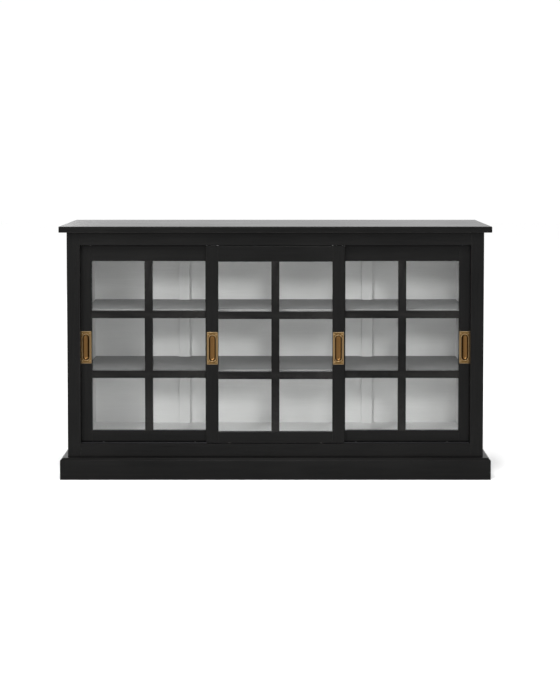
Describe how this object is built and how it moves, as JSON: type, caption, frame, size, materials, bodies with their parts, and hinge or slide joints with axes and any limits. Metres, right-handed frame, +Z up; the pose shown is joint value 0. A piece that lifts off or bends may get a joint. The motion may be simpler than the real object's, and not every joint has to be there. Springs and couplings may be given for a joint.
{
  "type": "sideboard",
  "caption": "Low black display cabinet on a plinth, with sliding glazed doors of six panes each, brass flush pulls and shelves in a white interior.",
  "frame": {"origin": "on the floor, under the middle of the cabinet's box", "axes": "+X along the length to the viewer's right, +Y from the doors towards the back, +Z up"},
  "size_m": [1.4, 0.42, 0.825],
  "materials": {
    "black_paint": "satin black paint on timber board",
    "white_paint": "matte off-white paint",
    "glass": "clear sheet with a faint green edge",
    "aged_brass": "aged, waxed brass",
    "black_metal": "black coated steel strip",
    "nylon": "grey nylon with a steel pin",
    "nickel": "nickel plated"
  },
  "bodies": {
    "cabinet": {"top_panel": "black_paint", "side_panel_left": "black_paint", "side_panel_right": "black_paint", "frame_stile_left": "black_paint", "frame_stile_right": "black_paint", "frame_rail_top": "black_paint", "frame_rail_bottom": "black_paint", "door_jamb_left": "black_paint", "door_jamb_right": "black_paint", "top_guide_rail": "black_paint", "plinth_front": "black_paint", "plinth_left": "black_paint", "plinth_right": "black_paint", "bottom_panel": "white_paint", "ceiling_panel": "white_paint", "back_panel": "white_paint", "back_batten_left": "white_paint", "back_batten_right": "white_paint", "side_lining_left": "white_paint", "side_lining_right": "white_paint", "shelf_lower": "white_paint", "shelf_upper": "white_paint", "shelf_peg_lower_left_front": "nickel", "shelf_peg_lower_left_rear": "nickel", "shelf_peg_lower_right_front": "nickel", "shelf_peg_lower_right_rear": "nickel", "shelf_peg_upper_left_front": "nickel", "shelf_peg_upper_left_rear": "nickel", "shelf_peg_upper_right_front": "nickel", "shelf_peg_upper_right_rear": "nickel", "track_front": "black_metal", "track_rear": "black_metal"},
    "left_door": {"left_door_stile_left": "black_paint", "left_door_stile_right": "black_paint", "left_door_rail_top": "black_paint", "left_door_rail_bottom": "black_paint", "left_door_muntins": "black_paint", "left_door_glass": "glass", "left_door_pull": "aged_brass"},
    "middle_door": {"middle_door_stile_left": "black_paint", "middle_door_stile_right": "black_paint", "middle_door_rail_top": "black_paint", "middle_door_rail_bottom": "black_paint", "middle_door_muntins": "black_paint", "middle_door_glass": "glass", "middle_door_pull_left": "aged_brass", "middle_door_pull_right": "aged_brass"},
    "right_door": {"right_door_stile_left": "black_paint", "right_door_stile_right": "black_paint", "right_door_rail_top": "black_paint", "right_door_rail_bottom": "black_paint", "right_door_muntins": "black_paint", "right_door_glass": "glass", "right_door_pull": "aged_brass"},
    "left_door_left_wheel": {"left_door_roller_left": "nylon"},
    "left_door_right_wheel": {"left_door_roller_right": "nylon"},
    "middle_door_left_wheel": {"middle_door_roller_left": "nylon"},
    "middle_door_right_wheel": {"middle_door_roller_right": "nylon"},
    "right_door_left_wheel": {"right_door_roller_left": "nylon"},
    "right_door_right_wheel": {"right_door_roller_right": "nylon"}
  },
  "joints": [
    {"name": "left_door_slide", "type": "slide", "parent": "cabinet", "child": "left_door", "axis": [1, 0, 0], "range_m": [0, 0.187]},
    {"name": "middle_door_slide", "type": "slide", "parent": "cabinet", "child": "middle_door", "axis": [1, 0, 0], "range_m": [-0.409, 0.409]},
    {"name": "right_door_slide", "type": "slide", "parent": "cabinet", "child": "right_door", "axis": [-1, 0, 0], "range_m": [0, 0.187]},
    {"name": "left_door_left_wheel_spin", "type": "hinge", "parent": "left_door", "child": "left_door_left_wheel", "pos_m": [-0.564, -0.152, 0.12315], "axis": [0, 1, 0], "continuous": true},
    {"name": "left_door_right_wheel_spin", "type": "hinge", "parent": "left_door", "child": "left_door_right_wheel", "pos_m": [-0.264, -0.152, 0.12315], "axis": [0, 1, 0], "continuous": true},
    {"name": "middle_door_left_wheel_spin", "type": "hinge", "parent": "middle_door", "child": "middle_door_left_wheel", "pos_m": [-0.15, -0.176, 0.12315], "axis": [0, 1, 0], "continuous": true},
    {"name": "middle_door_right_wheel_spin", "type": "hinge", "parent": "middle_door", "child": "middle_door_right_wheel", "pos_m": [0.15, -0.176, 0.12315], "axis": [0, 1, 0], "continuous": true},
    {"name": "right_door_left_wheel_spin", "type": "hinge", "parent": "right_door", "child": "right_door_left_wheel", "pos_m": [0.264, -0.152, 0.12315], "axis": [0, 1, 0], "continuous": true},
    {"name": "right_door_right_wheel_spin", "type": "hinge", "parent": "right_door", "child": "right_door_right_wheel", "pos_m": [0.564, -0.152, 0.12315], "axis": [0, 1, 0], "continuous": true}
  ],
  "couplings": [
    {"joint": "left_door_left_wheel_spin", "follows": "left_door_slide", "rad_per_m": 153.85},
    {"joint": "left_door_right_wheel_spin", "follows": "left_door_slide", "rad_per_m": 153.85},
    {"joint": "middle_door_left_wheel_spin", "follows": "middle_door_slide", "rad_per_m": 153.85},
    {"joint": "middle_door_right_wheel_spin", "follows": "middle_door_slide", "rad_per_m": 153.85},
    {"joint": "right_door_left_wheel_spin", "follows": "right_door_slide", "rad_per_m": -153.85},
    {"joint": "right_door_right_wheel_spin", "follows": "right_door_slide", "rad_per_m": -153.85}
  ]
}
